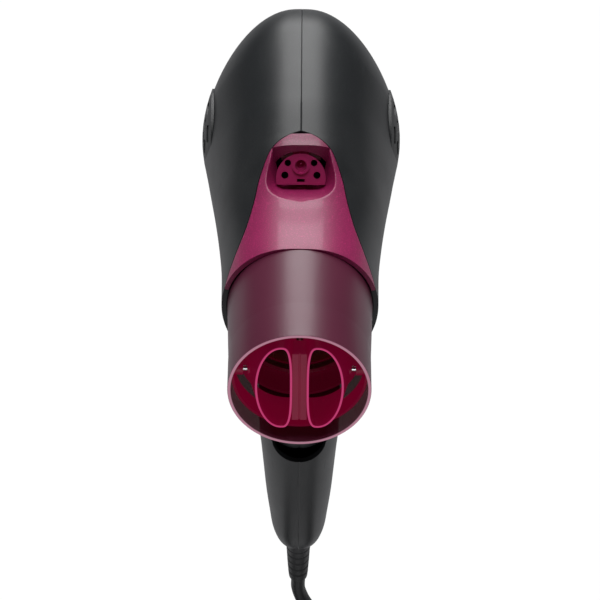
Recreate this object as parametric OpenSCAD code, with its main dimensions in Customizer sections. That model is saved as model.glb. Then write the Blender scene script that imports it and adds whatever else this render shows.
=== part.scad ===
// Folding hair dryer: a housing with fan, heater and ion outlet, a swinging inner nozzle,
// a folding handle with its switch, and the mains lead.
// Millimetres, +Z up. The origin is the middle of the hand grip, and the barrel points along -Y.

/* [Housing] */
// Half of the housing's width at the air intakes
hub_half = 46.4; // [45:0.2:47.6]
// Radius of the rear outline, seen from the side
rear_r = 52.5; // [51:0.5:54]
// Thickness of the moulded shells
wall = 2.2; // [1.8:0.1:2.4]
// Radius of each air-intake opening
intake_r = 24; // [22.5:0.5:24.5]

/* [Nozzle] */
// Outer radius of the nozzle shell at its mouth
mouth_r = 31; // [30.6:0.1:31.4]
// Distance of the mouth in front of the barrel's reference point
mouth_reach = 160; // [159:0.5:162]
// Distance of the inner nozzle's pivot in front of the reference point
pivot_reach = 145; // [144.5:0.5:145.5]
// Radius of the pivot pins
pivot_r = 1.4; // [1.2:0.1:1.6]

/* [Handle] */
// Length from the fold hinge to the handle's end
handle_len = 115; // [112:1:120]
// Backward lean of the open handle, in degrees
lean = 17.5; // [15:0.5:20]
// Height of the barrel's axis above the fold hinge
axis_up = 68; // [66:0.5:70]
// Radius of the fold hinge's pin
hinge_r = 3; // [2.5:0.1:3.4]

/* [Lead] */
// Diameter of the mains lead
lead_d = 7; // [6.6:0.1:7.2]

/* [Hidden] */
$fn = 64;

// Housing: places along the barrel (Y, forward is negative), measured from the reference point
hub_y = 12;             // centre of the air intakes
hub_z = 6;
rear_y = 22;            // centre of the rear outline's circle
rear_z = 10;
front_y = -103;         // front edge of the housing and the panel
hood_back_y = -39.5;    // rear edge of the hood
hood_front_y = -45;     // its front lip, where the scoop of the panel begins
lens_power = 1.6;       // how soon the rear half thins out away from the intakes
rim_power = 2.1;        // how blunt its rim is
panel_t = 2;            // thickness of the panel

// Each line is a list of [place along the barrel, value]
half_line = [[-103, 34.8], [-80, 35.3], [-60, 36.9], [-40, 39.2], [-15, 42.8], [12, hub_half]];
top_line = [[-103, 32.4], [-80, 33.2], [-66, 35], [-56, 39], [-48, 44], [-42, 47], [-20, 55],
            [22, rear_z + rear_r]];
bottom_line = [[-103, -36], [-80, -36.5], [-50, -39], [-20, -41.5], [22, rear_z - rear_r]];
middle_line = [[-103, 0], [-40, 1], [12, 4], [75, 10]];
power_line = [[-103, 2], [-60, 2], [12, 1.8], [75, 1.8]];
panel_line = [[-103, 33.6], [-92, 29], [-80, 24.5], [-66, 21], [-57, 19], [-50, 16.2],
              [-46, 14], [-43, 11], [-40, 6], [-38, 0]];
scoop_width = [[-71, 0.5], [-69, 7.5], [-66, 12], [-61, 15], [-56, 15.3], [-50, 13.8], [-45, 12.6]];
scoop_floor = [[-71, 33.8], [-66, 32.2], [-60, 29.5], [-52, 26.8], [-45, 25.4]];
front_steps = [-103, -96, -89, -82, -76, -71, -66, -61, -57, -53, -50, -47, -45, -43, -41, -39.5, -38];
rear_steps = [-28, -18, -8, 2, 12, 22, 32, 41, 49, 56, 62, 67, 70.5, 73];

// Handle: places down the handle (Z, downward is negative), measured from the hinge
grip_s = 57;            // hinge to the middle of the grip
hinge_back = -97;       // place of the hinge along the barrel
neck_r = 11.2;          // round neck between the housing and the hinge
slot_r = 12.2;          // round slot in the handle that the neck turns into
cheek_r = 19.3;         // outline of the handle's cheeks about the hinge
cheek_x = 12.2;         // inner face of each cheek
handle_power = 2.3;
width_line = [[-20, 18.4], [11, 18.2], [22, 17.6], [42, 16.6], [64, 15.5], [86, 13.9], [98, 12.9],
              [107, 11.3], [112, 9.9], [115, 8.6]];
depth_line = [[-20, 19.5], [11, 19.5], [22, 19.3], [42, 18.4], [64, 17], [86, 15.2], [98, 14],
              [107, 12.2], [112, 10.4], [115, 8.8]];
handle_angles = [180, 168, 156, 142, 140, 130, 116, 102, 90, 80, 68, 56, 46, 40, 38, 32, 24, 12, 0];
handle_steps = [0, 0.08, 0.18, 0.3, 0.42, 0.54, 0.66, 0.76, 0.85, 0.92, 0.97, 1];

// Switch plate, on the rear face of the handle
plate_tilt = 3.9;
plate_out = 19.3;
plate_from = 26;
plate_len = 46;
plate_half = 7;
plate_t = 2.6;

// Reference frames
hinge_pos = [0, -grip_s * sin(lean), grip_s * cos(lean)];
barrel_pos = hinge_pos + [0, -hinge_back, axis_up];
relief_tip_s = 158;     // end of the strain relief, measured from the hinge
coil_r = 38;            // radius of the stored coil at the middle of its turns
floor_z = -160;         // height of the surface that the stored coil lies on
relief_tip = hinge_pos + relief_tip_s * [0, sin(lean), -cos(lean)];

// Routes of the lead: out of the strain relief to the coil, and from the coil to the plug
plug_z = floor_z + 13;
lead_route = [relief_tip, [0, 32, -101.5], [0, 34, -108], [1, 35.5, -114], [3, 36, -120],
              [6.5, 35.8, -126], [11.5, 35, -131.5], [17.5, 33, -136.5], [23, 29.8, -140.5]];
tail_route = [[34.5, 28.9, -156.5], [41, 21.2, -156.5], [48, 12.9, -156.2], [54, 5, -154.6], [59, -3, -151.4],
              [61.7, -9, -148.2], [62, -13, plug_z], [62, -16.5, plug_z], [62, -20, plug_z]];
plug_x = 62;
plug_back_y = -20;
plug_face_y = -62;
pin_spacing = 19;

// ---- Functions ----

// Smooth value at v on a line of [place, value] points
function find(t, v, i = 0) = i >= len(t) - 2 || v <= t[i + 1][0] ? i : find(t, v, i + 1);
function curve(t, v) =
    let (i = find(t, v), a = t[i], b = t[i + 1], w = b[0] - a[0],
         u = max(0, min(1, (v - a[0]) / w)),
         ga = i == 0 ? (b[1] - a[1]) / w : (b[1] - t[i - 1][1]) / (b[0] - t[i - 1][0]),
         gb = i + 2 >= len(t) ? (b[1] - a[1]) / w : (t[i + 2][1] - a[1]) / (t[i + 2][0] - a[0]))
    a[1] * (1 + 2 * u) * (1 - u) * (1 - u) + b[1] * u * u * (3 - 2 * u)
    + w * (ga * u * (1 - u) * (1 - u) - gb * u * u * (1 - u));
// Sine or cosine bent to a superellipse of power n
function arm(c, n) = sign(c) * pow(abs(c), 2 / n);

// Housing's half width, top and bottom at a place along the barrel
rear_end = rear_y + rear_r;
function half_at(y) = y < hub_y ? curve(half_line, y)
    : hub_half * pow(1 - pow((y - hub_y) / (rear_end - hub_y), lens_power), 1 / rim_power);
function rim_at(y) = sqrt(rear_r * rear_r - (y - rear_y) * (y - rear_y));
function top_at(y) = y < rear_y ? curve(top_line, y) : rear_z + rim_at(y);
function bottom_at(y) = y < rear_y ? curve(bottom_line, y) : rear_z - rim_at(y);
// Point on the housing at place y and angle phi from the top; t is the depth under the surface
function skin(y, phi, t = 0) =
    let (n = curve(power_line, y), m = curve(middle_line, y), rear = y > hub_y,
         k = rear ? (rear_r - t) / rear_r : 1, s = rear ? 0 : t,
         h = (half_at(y) - s) * (rear ? (hub_half - t) / hub_half : 1),
         a = (top_at(y) - s - m) * k, b = (m - bottom_at(y) - s) * k)
    [h * arm(sin(phi), n), rear ? hub_y + (y - hub_y) * (rear_end - t - hub_y) / (rear_end - hub_y) : y,
     m + (cos(phi) >= 0 ? a : b) * arm(cos(phi), n)];
// Angle from the top at which the coloured panel ends
function panel_angle(y) = y >= -38 ? 0
    : asin(pow(curve(panel_line, y) / half_at(y), curve(power_line, y) / 2));
// Point on the panel, with the scoop in front of the ion outlet sunk into it
function panel_skin(y, phi, t = 0) =
    let (p = skin(y, phi), q = skin(y, phi, t), w = pow(min(1, abs(p[0]) / curve(scoop_width, y)), 6),
         sunk = y <= -71 ? 0 : max(0, p[2] - curve(scoop_floor, y)) * (1 - w),
         side = min(1, max(0, (abs(p[0]) - curve(scoop_width, y) - 1) / 6)))
    [p[0] + (q[0] - p[0]) * side, q[1], q[2] - sunk];
// Handle's surface at distance s below the hinge and angle a from the front
function grip(s, a, t = 0) =
    [(curve(width_line, s) - t) * arm(sin(a), handle_power),
     -(curve(depth_line, s) - t) * arm(cos(a), handle_power), -s];
// Upper edge of the handle: a round slot at the front and round cheeks beside it
function handle_top(a) =
    let (p = grip(0, a), x = p[0], round_top = -sqrt(max(0, cheek_r * cheek_r - p[1] * p[1])))
    x > cheek_x + 0.4 ? round_top : a < 90 ? sqrt(max(0, slot_r * slot_r - x * x)) : -8;
function handle_wall(s) = s > 95 ? max(1.3, wall - (s - 95) * 0.045) : wall;

function flat(l) = [for (a = l) for (b = a) b];
// Faces between two neighbouring rows of points, c points in a row, first point at each given index
function strip(first, second, c, wrap) =
    flat([for (j = [0 : c - (wrap ? 1 : 2)])
        let (k = (j + 1) % c) [[first + j, first + k, second + k], [first + j, second + k, second + j]]]);
function turned(faces) = [for (f = faces) [f[2], f[1], f[0]]];
// Faces across the ends of the rows
function hem(first, second, n_out, n_in) =
    [[first, second, n_in + second - n_out], [first, n_in + second - n_out, n_in + first - n_out]];

// ---- Solid builders ----

// Closed skin between an outer and an inner grid of points; a pole point may close the far end of each
module skin_solid(outer, inner, poles = []) {
    r = len(outer);
    c = len(outer[0]);
    n = r * c;
    sides = flat([for (i = [0 : r - 2]) concat(
        strip(i * c, (i + 1) * c, c, false),
        turned(strip(n + i * c, n + (i + 1) * c, c, false)),
        hem(i * c, (i + 1) * c, 0, n),
        turned(hem(i * c + c - 1, (i + 1) * c + c - 1, 0, n)))]);
    last = (r - 1) * c;
    front = turned(strip(0, n, c, false));
    back = len(poles) == 0 ? strip(last, n + last, c, false)
        : concat([for (j = [0 : c - 2]) [last + j, last + j + 1, 2 * n]],
                 [for (j = [0 : c - 2]) [n + last + j + 1, n + last + j, 2 * n + 1]],
                 [[last, 2 * n, 2 * n + 1], [last, 2 * n + 1, n + last]],
                 turned([[last + c - 1, 2 * n, 2 * n + 1], [last + c - 1, 2 * n + 1, n + last + c - 1]]));
    polyhedron(concat(flat(outer), flat(inner), poles), turned(concat(sides, front, back)));
}
// Tube between an outer and an inner stack of closed rings
module tube_solid(outer, inner) {
    r = len(outer);
    c = len(outer[0]);
    n = r * c;
    sides = flat([for (i = [0 : r - 2]) concat(
        strip(i * c, (i + 1) * c, c, true), turned(strip(n + i * c, n + (i + 1) * c, c, true)))]);
    polyhedron(concat(flat(outer), flat(inner)),
        turned(concat(sides, turned(strip(0, n, c, true)), strip((r - 1) * c, n + (r - 1) * c, c, true))));
}
// Round bar swept along a route of points
function unit(v) = v / norm(v);
module sweep(route, r, sides = 8) {
    n = len(route);
    rings = [for (i = [0 : n - 1])
        let (d = unit(route[min(n - 1, i + 1)] - route[max(0, i - 1)]),
             u = unit(cross(d, [1, 0.1, 0])), v = cross(d, u))
        [for (j = [0 : sides - 1]) route[i] + r * (cos(360 * j / sides) * u + sin(360 * j / sides) * v)]];
    walls = flat([for (i = [0 : n - 2]) strip(i * sides, (i + 1) * sides, sides, true)]);
    start = [for (j = [1 : sides - 2]) [0, j + 1, j]];
    end = [for (j = [1 : sides - 2]) [(n - 1) * sides, (n - 1) * sides + j, (n - 1) * sides + j + 1]];
    polyhedron(flat(rings), turned(concat(walls, start, end)));
}
// Smooth route through hand-set points, with extra points between them
function smooth(route, parts = 2) =
    let (n = len(route))
    concat(flat([for (i = [0 : n - 2]) [for (k = [0 : parts - 1])
        let (u = k / parts, a = route[max(0, i - 1)], b = route[i],
             c = route[i + 1], d = route[min(n - 1, i + 2)])
        b + 0.5 * u * ((c - a) + u * (2 * a - 5 * b + 4 * c - d + u * (3 * (b - c) + d - a)))]]),
        [route[n - 1]]);

module on_barrel() translate(barrel_pos) children();
module on_handle() translate(hinge_pos) rotate([lean, 0, 0]) children();
// Local X across, Y down the handle, Z out of the switch plate's face
module on_plate() on_handle()
    translate([0, plate_out, -plate_from]) rotate([-90 - plate_tilt, 0, 0]) children();
module bar_x(x0, x1, r) translate([x0, 0, 0]) rotate([0, 90, 0]) cylinder(h = x1 - x0, r = r);
module bar_y(y0, y1, r) translate([0, y1, 0]) rotate([90, 0, 0]) cylinder(h = y1 - y0, r = r);
// Outline of [radius, y] points turned about the barrel's axis
module spun_y(outline) rotate([-90, 0, 0]) rotate_extrude() polygon(outline);
module ring_y(y0, y1, r_in, r_out) spun_y([[r_in, y0], [r_out, y0], [r_out, y1], [r_in, y1]]);
module block(from, to) translate(from) cube(to - from);
module rounded(half_x, y0, y1, r) hull() for (x = [-1, 1], y = [y0 + r, y1 - r])
    translate([x * (half_x - r), y]) circle(r, $fn = 24);

// ---- Housing ----

shell_black = "#2b2e31";
magenta = "#8a2452";
smoke = "#7a3a55";
steel = "#b9bdc2";

// Shell of the housing's right half, from the panel's edge round to the bottom
module housing_shell() {
    steps = concat(front_steps, rear_steps);
    cols = 13;
    function turn(y, j) = let (p = panel_angle(y)) p + (180 - p) * j / cols;
    skin_solid([for (y = steps) [for (j = [0 : cols]) skin(y, turn(y, j))]],
               [for (y = steps) [for (j = [0 : cols]) skin(y, turn(y, j), wall)]],
               [[0, rear_end, rear_z], [0, rear_end - wall, rear_z]]);
}
// Right half of the round neck that carries the hinge
knuckle_x = 10.9;
knuckle_r = 16.5;
module neck_half() {
    intersection() {
        translate([0, hinge_back, -axis_up]) union() {
            cylinder(h = axis_up - 33.9, r = neck_r);
            intersection() {
                bar_x(-knuckle_x, knuckle_x, knuckle_r);
                sphere(r = knuckle_r + 0.2);
            }
        }
        block([0.8, hinge_back - 20, -axis_up - 20], [20, hinge_back + 20, -30]);
    }
}
module housing_half() {
    difference() {
        union() {
            housing_shell();
            neck_half();
        }
        translate([20, hub_y, hub_z]) rotate([0, 90, 0]) cylinder(h = 40, r = intake_r + 0.2);
        translate([0, hinge_back, -axis_up]) bar_x(-1, 20, hinge_r);
        block([-1, -91.5, -60], [4, -87.5, -30]);
    }
}
module housing_right() { color(shell_black) on_barrel() housing_half(); }
module housing_left() { color(shell_black) on_barrel() mirror([1, 0, 0]) housing_half(); }

// Coloured panel over the barrel, with the scoop in front of the ion outlet
module top_panel() {
    steps = [for (y = front_steps) if (y <= hood_front_y) y];
    cols = 20;
    edge_gap = 0.5;
    function turn(y, j) = (panel_angle(y) - edge_gap) * (2 * j / cols - 1);
    color(magenta) on_barrel() skin_solid([for (y = steps) [for (j = [0 : cols]) panel_skin(y, turn(y, j))]],
        [for (y = steps) [for (j = [0 : cols]) panel_skin(y, turn(y, j), panel_t)]]);
}

// Arched hood over the ion outlet
arch_z = 28.5;
arch_r = 13.7;
module ion_hood() {
    steps = [for (y = front_steps) if (y >= hood_front_y && y <= hood_back_y) y];
    cols = 12;
    edge_gap = 1;
    function along(y) = y == hood_front_y ? y + 0.05 : y;
    function turn(y, j) = (panel_angle(y) - edge_gap) * (2 * j / cols - 1);
    function under(p, y) = [p[0], along(y), arch_z + sqrt(arch_r * arch_r - p[0] * p[0])];
    color(magenta) on_barrel() skin_solid(
        [for (y = steps) [for (j = [0 : cols]) skin(along(y), turn(y, j))]],
        [for (y = steps) [for (j = [0 : cols]) under(skin(y, turn(y, j), panel_t), y)]]);
}

// Plate under the hood, with the round ion outlet and its cross
outlet_z = 36.6;
// Plate that leans back from the scoop to the hood, with a ring, five windows and a tube behind
outlet_y = -48.4;
outlet_tip = 50;
module on_outlet() translate([0, outlet_y, outlet_z]) rotate([outlet_tip, 0, 0]) children();
module outlet_outline() {
    difference() {
        intersection() {
            translate([0, -5.7]) circle(11.2);
            translate([-20, -8.5]) square([40, 20]);
        }
        for (side = [-1, 1]) {
            translate([5.9 * side, 1.3]) circle(1.5);
            translate([7.2 * side, -4.2]) circle(1.6);
        }
        translate([-1.7, -7.2]) square([3.4, 1.3]);
    }
}
module ion_bezel() {
    color("#4a1230") on_barrel() difference() {
        union() {
            on_outlet() {
                translate([0, 0, -1.2]) linear_extrude(1.2) outlet_outline();
                cylinder(h = 1, r = 3.9);
            }
            difference() {
                translate([0, 0, outlet_z]) bar_y(outlet_y - 4, -36.2, 3.6);
                on_outlet() block([-20, -20, -0.1], [20, 20, 20]);
            }
        }
        on_outlet() translate([0, 0, -1.6]) cylinder(h = 4, r = 2.6);
        translate([0, 0, outlet_z]) bar_y(outlet_y - 4, -30, 2);
    }
}
module ion_needle() {
    color(steel) on_barrel() translate([0, 0, outlet_z]) {
        bar_y(-45, -36, 0.9);
        translate([0, -45, 0]) rotate([90, 0, 0]) cylinder(h = 1.6, r1 = 0.9, r2 = 0.3);
    }
}
module ion_module() {
    color("#e8e4da") on_barrel() block([-9, -36, 30.5], [9, -14, 42]);
}

// Ring that closes the step between the housing and the nozzle shell
module front_collar() {
    n = 36;
    color("#1d1f21") on_barrel() difference() {
        translate([0, front_y + 3, 0]) rotate([90, 0, 0]) linear_extrude(3)
            polygon([for (i = [0 : n - 1])
                let (a = i * 360 / n, p = skin(front_y, a <= 180 ? a : 360 - a, wall + 0.2))
                [a <= 180 ? p[0] : -p[0], p[2]]]);
        bar_y(front_y - 1, front_y + 4, 29.3);
    }
}
// Tube behind the nozzle shell that carries the air out
module front_barrel() {
    color(magenta) on_barrel() spun_y([[27.4, -130], [28.6, -130], [29.2, -126], [29.2, -88], [27.4, -88]]);
}

// ---- Nozzle ----

module nozzle_shell() {
    lip = -mouth_reach;
    color(smoke) on_barrel() spun_y([
        [mouth_r - 0.4, lip], [mouth_r, lip + 0.6], [mouth_r, lip + 22],
        [mouth_r + 1.2, front_y - 0.05], [mouth_r - 0.4, front_y - 0.05],
        [mouth_r - 1.5, lip + 24], [mouth_r - 1.5, lip + 0.5], [mouth_r - 1.2, lip]]);
}
// Ring inside the shell, with a boss at each side for the inner nozzle's pivots
module pivot_carrier() {
    color(magenta) on_barrel() translate([0, -pivot_reach, 0]) difference() {
        union() {
            ring_y(-5, 4, mouth_r - 2.6, mouth_r - 1.52);
            for (side = [-1, 1]) scale([side, 1, 1]) bar_x(24.4, mouth_r - 2.2, 3);
        }
        bar_x(-40, 40, pivot_r + 0.06);
    }
}
// Inner nozzle: two D-shaped ducts either side of a bar
swing_steps = [-136, -140, -145, -150, -154.5, -158.5];
function lobe_ring(y, t) =
    let (u = (y + 136) / -22.5, v = pow(u, 0.6), flat_x = 1.35 + 1.75 * u + t, top_x = 5 + 3 * u,
         side = 26.6 - 7.5 * v - t, high = 25.9 - 3.2 * u - t)
    [for (j = [0 : 23]) let (a = j * 15, c = cos(a), s = sin(a), n = c >= 0 ? 2 : 3.2)
        [top_x + (c >= 0 ? side - top_x : top_x - flat_x) * arm(c, n), y, high * arm(s, n)]];
module lobe() {
    tube_solid([for (y = swing_steps) lobe_ring(y, 0)], [for (y = swing_steps) lobe_ring(y, 1.3)]);
}
module swing_nozzle() {
    color("#7d0a3a") on_barrel() difference() {
        union() {
            lobe();
            mirror([1, 0, 0]) lobe();
            translate([0, 0, -17.5]) linear_extrude(35)
                polygon([[-3.4, -149], [-3.4, -155.5], [0, -157.5], [3.4, -155.5], [3.4, -149]]);
            for (side = [-1, 1]) scale([side, 1, 1]) translate([0, -pivot_reach, 0]) bar_x(18.6, 22.6, 2.8);
        }
        for (side = [-1, 1]) scale([side, 1, 1]) translate([0, -pivot_reach, 0]) bar_x(19, 40, pivot_r);
    }
}
module pivot_pins() {
    color(steel) on_barrel() for (side = [-1, 1]) scale([side, 1, 1])
        translate([0, -pivot_reach, 0]) bar_x(19, 28.6, pivot_r);
}
module outlet_grille() {
    color("#c9b9b4") on_barrel() union() {
        ring_y(-117, -113.5, 25.4, 27.35);
        ring_y(-116.4, -114, 13.4, 14.4);
        ring_y(-116.4, -114, 0, 2.4);
        for (i = [0 : 7]) rotate([0, i * 45, 0]) block([2, -116.4, -0.45], [25.8, -114, 0.45]);
    }
}

// ---- Air intake ----

// Domed cover with rings of slots and a skirt that fills the opening, for the right side
module intake_cover() {
    cap_r = intake_r - 0.1;
    rise = 4.6;
    skirt = 4.6;
    thick = 1.9;
    function dome_at(r) = rise * (1 - pow(r / cap_r, 2));
    bands = 6;
    outside = [for (i = [0 : bands]) [cap_r * i / bands, dome_at(cap_r * i / bands)]];
    inside = [for (i = [bands : -1 : 0]) let (r = (cap_r - thick) * i / bands) [r, dome_at(r) - thick]];
    rows = 3;
    row_step = 5.3;
    slot_w = 3.2;
    difference() {
        translate([hub_half - rise, hub_y, hub_z]) rotate([0, 90, 0]) rotate_extrude()
            polygon(concat(outside, [[cap_r, -skirt], [cap_r - thick, -skirt]], inside));
        for (row = [0 : rows - 1], i = [0 : 7])
            translate([0, hub_y, hub_z]) rotate([i * 45 + row * 22.5, 0, 0]) block(
                [30, 6.4 + row * row_step, -2.4 - row * 0.8],
                [60, 6.4 + slot_w + row * row_step, 2.4 + row * 0.8]);
    }
}
module intake_cover_right() { color(shell_black) on_barrel() intake_cover(); }
module intake_cover_left() { color(shell_black) on_barrel() mirror([1, 0, 0]) intake_cover(); }
module intake_filter() translate([36, hub_y, hub_z]) rotate([0, 90, 0]) cylinder(h = 0.8, r = intake_r - 2.3);
module intake_filter_right() { color("#55585b") on_barrel() intake_filter(); }
module intake_filter_left() { color("#55585b") on_barrel() mirror([1, 0, 0]) intake_filter(); }

// ---- Fan and motor ----

module fan_duct() {
    color("#d8d3c8") on_barrel() union() {
        spun_y([[26.2, -64.5], [22.6, -57], [22.6, -45], [28, -34], [28, 12], [34, 18], [34, 19.5],
                [32.8, 19.5], [26.6, 13], [26.6, -33.4], [21.2, -44.4], [21.2, -57.4], [24.8, -64.5]]);
        ring_y(-32, -10, 14.05, 15.4);
        for (i = [0 : 5]) rotate([0, i * 60, 0]) block([15, -32, -0.7], [27, -14, 0.7]);
    }
}
module motor_can() {
    color(steel) on_barrel() spun_y([[3, -34], [14, -34], [14, -6], [3, -6],
                                     [3, -7.2], [12.8, -7.2], [12.8, -32.8], [3, -32.8]]);
}
module motor_bearings() {
    color("#b08d57") on_barrel() {
        ring_y(-34.6, -32.2, 1.2, 2.95);
        ring_y(-7.8, -5.4, 1.2, 2.95);
    }
}
module motor_rotor() { color("#8a4b2a") on_barrel() ring_y(-30, -10, 1.15, 10.5); }
module fan_shaft() { color(steel) on_barrel() bar_y(-35.5, 9, 1.15); }
// Hub with seven pitched blades
module impeller() {
    blades = 7;
    color("#3c3f42") on_barrel() difference() {
        union() {
            bar_y(-3, 9.5, 12.5);
            for (i = [0 : blades - 1]) rotate([0, i * 360 / blades, 0]) translate([0, 3.2, 0])
                rotate([35, 0, 0]) block([11.8, -6, -0.6], [25.1, 6, 0.6]);
        }
        ring_y(-4, 6.5, 3, 11.2);
        bar_y(-10, 9, 1.15);
    }
}

// ---- Heater ----

module heater_sleeve() { color("#cdbf9a") on_barrel() ring_y(-111, -65, 25.9, 26.5); }
module heater_frame() {
    color("#d6c8a2") on_barrel() union() {
        block([-22.4, -110, -0.4], [22.4, -68, 0.4]);
        block([-0.4, -110, -22.4], [0.4, -68, 22.4]);
    }
}
module heater_coils() {
    color("#9aa0a6") on_barrel() for (i = [0 : 6]) rotate([-90, 0, 0]) translate([0, 0, -106 + i * 6])
        rotate_extrude() translate([23.1, 0]) circle(0.6, $fn = 16);
}
module thermostat() { color("#a9adb1") on_barrel() block([1.2, -84, 0.5], [9.2, -72, 4.6]); }
module thermal_fuse() { color("#e9e6df") on_barrel() translate([-6, 0, 2.1]) bar_y(-86, -74, 1.6); }

// ---- Wiring in the housing ----

module control_board() {
    color("#2f6b45") on_barrel() union() {
        block([-15, -32, -33.8], [15, 8, -32.2]);
        block([-12, -8, -32.2], [-4, 4, -29.4]);
        block([3, -28, -35.6], [11, -20, -33.8]);
        block([-11, -26, -35.6], [-4, -14, -33.8]);
    }
}
module body_wires() {
    color("#b23b3b") on_barrel() for (x = [-2.4, 2.4]) translate([x, 0, 0]) {
        translate([0, 0, -32.4]) bar_y(-90.7, -32.2, 1.1);
        translate([0, -89.6, -58]) cylinder(h = 25.6, r = 1.1);
    }
}
module hinge_pin() {
    color(steel) on_barrel() translate([0, hinge_back, -axis_up]) bar_x(-16.2, 16.2, hinge_r);
}

// ---- Handle ----

module handle_shell() {
    function rows(t) = [for (u = handle_steps) [for (a = handle_angles)
        let (s0 = handle_top(a), s = s0 + (handle_len - s0) * u) grip(s, a, t == 0 ? 0 : handle_wall(s))]];
    skin_solid(rows(0), rows(1));
}
module handle_half() {
    difference() {
        union() {
            handle_shell();
            bar_x(cheek_x, 13.8, 13.8);
            bar_x(13.5, 17.2, 6);
            translate([0, 0, -92]) bar_x(0, 12, 3.2);
        }
        bar_x(0, 16.4, hinge_r + 0.06);
        bar_y(-40, 0, neck_r + 0.5);
        translate([0, 0, -92]) bar_x(-1, 10, 1.3);
        translate([0, plate_out, -plate_from]) rotate([-90 - plate_tilt, 0, 0])
            block([-1, -0.1, -8], [plate_half + 0.1, plate_len + 0.1, 10]);
    }
}
module handle_right() { color(shell_black) on_handle() handle_half(); }
module handle_left() {
    color(shell_black) on_handle() difference() {
        mirror([1, 0, 0]) handle_half();
        translate([0, 0, -92]) bar_x(-20, -10.5, 2.6);
        translate([0, 0, -92]) bar_x(-11, 1, 1.7);
    }
}
module handle_screws() {
    color(steel) on_handle() translate([0, 0, -92]) {
        bar_x(-12.4, -10.5, 2.4);
        bar_x(-10.6, 9, 1.3);
    }
}
module hinge_washers() {
    bore = hinge_r + 0.08;
    color(steel) on_handle() for (side = [-1, 1]) scale([side, 1, 1]) rotate([0, 90, 0])
        translate([0, 0, 11.6]) rotate_extrude() polygon([[bore, 0], [8, 0], [8, 0.5], [bore, 0.5]]);
}

// ---- Switches ----

slot_from = 5.5;
slot_to = 26.5;
button_at = 37;
module switch_bezel() {
    color("#1b1d1f") on_plate() translate([0, 0, -plate_t]) linear_extrude(plate_t) difference() {
        rounded(plate_half, 0, plate_len, 3);
        rounded(2.1, slot_from, slot_to, 1);
        translate([0, button_at]) circle(4.2);
    }
}
// Sliding power switch, shown at its first position
module power_slide() {
    color("#3a3d40") on_plate() union() {
        translate([0, 0, 0.3]) linear_extrude(2.6) rounded(5.4, 1.5, 16.5, 2);
        for (i = [0 : 3]) block([-4.4, 4.5 + i * 2.6, 2.8], [4.4, 5.5 + i * 2.6, 3.4]);
        block([-1.9, 6.2, -5], [1.9, 11.2, 0.4]);
    }
}
module mode_button() {
    color("#8a2452") on_plate() translate([0, button_at, 0]) union() {
        translate([0, 0, -2.9]) cylinder(h = 3.7, r = 4);
        translate([0, 0, -4]) cylinder(h = 1.1, r = 5);
    }
}
module switch_block() { color("#4b4e52") on_plate() block([-5, 2, -11.5], [5, 30, -5.3]); }
module button_contact() {
    color("#6d7075") on_plate() translate([0, button_at, 0]) union() {
        block([-3, -3, -11.5], [3, 3, -7.6]);
        translate([0, 0, -7.7]) cylinder(h = 1.9, r = 1.6);
    }
}
module switch_board() { color("#2f6b45") on_plate() block([-6, 1, -13.1], [6, 44, -11.5]); }
module handle_wires() {
    color("#3d6bb2") on_handle() for (x = [-2.4, 2.4]) translate([x, -6, -108]) cylinder(h = 90.5, r = 1.1);
}

// ---- Lead and plug ----

module strain_relief() {
    root = handle_len - 4.5;
    tip = relief_tip_s;
    grooves = [for (k = [0 : 4]) handle_len + 9 + k * 6.4];
    color("#242628") on_handle() rotate([180, 0, 0]) difference() {
        rotate_extrude() polygon([[lead_d / 2, root], [7.2, root], [7.2, handle_len + 1],
                                  [5.9, handle_len + 13], [5.3, handle_len + 28], [4.6, tip - 0.6],
                                  [4.2, tip], [lead_d / 2, tip]]);
        for (g = grooves) rotate_extrude() polygon([[4.9, g], [9, g], [9, g + 1.6], [4.9, g + 1.6]]);
    }
}
module power_cord() { color("#2b2c2e") sweep(smooth(lead_route, 2), lead_d / 2); }
module cord_tail() { color("#2b2c2e") sweep(smooth(tail_route, 2), lead_d / 2); }
module cord_coil() {
    near = coil_r - 1.5 * lead_d;
    far = coil_r + 1.5 * lead_d;
    high = 3 * lead_d;
    color("#2b2c2e") translate([0, 0, floor_z]) rotate_extrude()
        polygon([[near + 2, 0], [far - 2, 0], [far, 2], [far, 2 * lead_d + 1], [far - 3, high],
                 [near + 2, high], [near, high - 2], [near, 2]]);
}
module coil_tie() {
    near = coil_r - 1.5 * lead_d;
    far = coil_r + 1.5 * lead_d;
    high = 3 * lead_d;
    color("#111213") translate([0, 0, floor_z]) rotate([0, 0, 200]) difference() {
        block([near - 1.6, -4, -1], [far + 1, 4, high + 1]);
        block([near - 0.6, -5, 0], [far, 5, high]);
    }
}
module plug_body() {
    color("#26282a") translate([plug_x, 0, plug_z]) union() {
        hull() for (x = [-5.5, 5.5]) translate([x, 0, 0]) bar_y(plug_face_y, plug_face_y + 18, 13);
        hull() {
            for (x = [-5.5, 5.5]) translate([x, 0, 0]) bar_y(plug_face_y + 17.9, plug_face_y + 18, 12.4);
            bar_y(plug_back_y - 12, plug_back_y - 11.9, 6.4);
        }
        translate([0, plug_back_y, 0]) rotate([90, 0, 0]) cylinder(h = 12.2, r1 = 5, r2 = 6.4);
    }
}
module plug_pins() {
    color(steel) translate([plug_x, 0, plug_z]) for (x = [-1, 1]) translate([x * pin_spacing / 2, 0, 0])
        bar_y(plug_face_y - 19, plug_face_y, 2.4);
}

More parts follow.
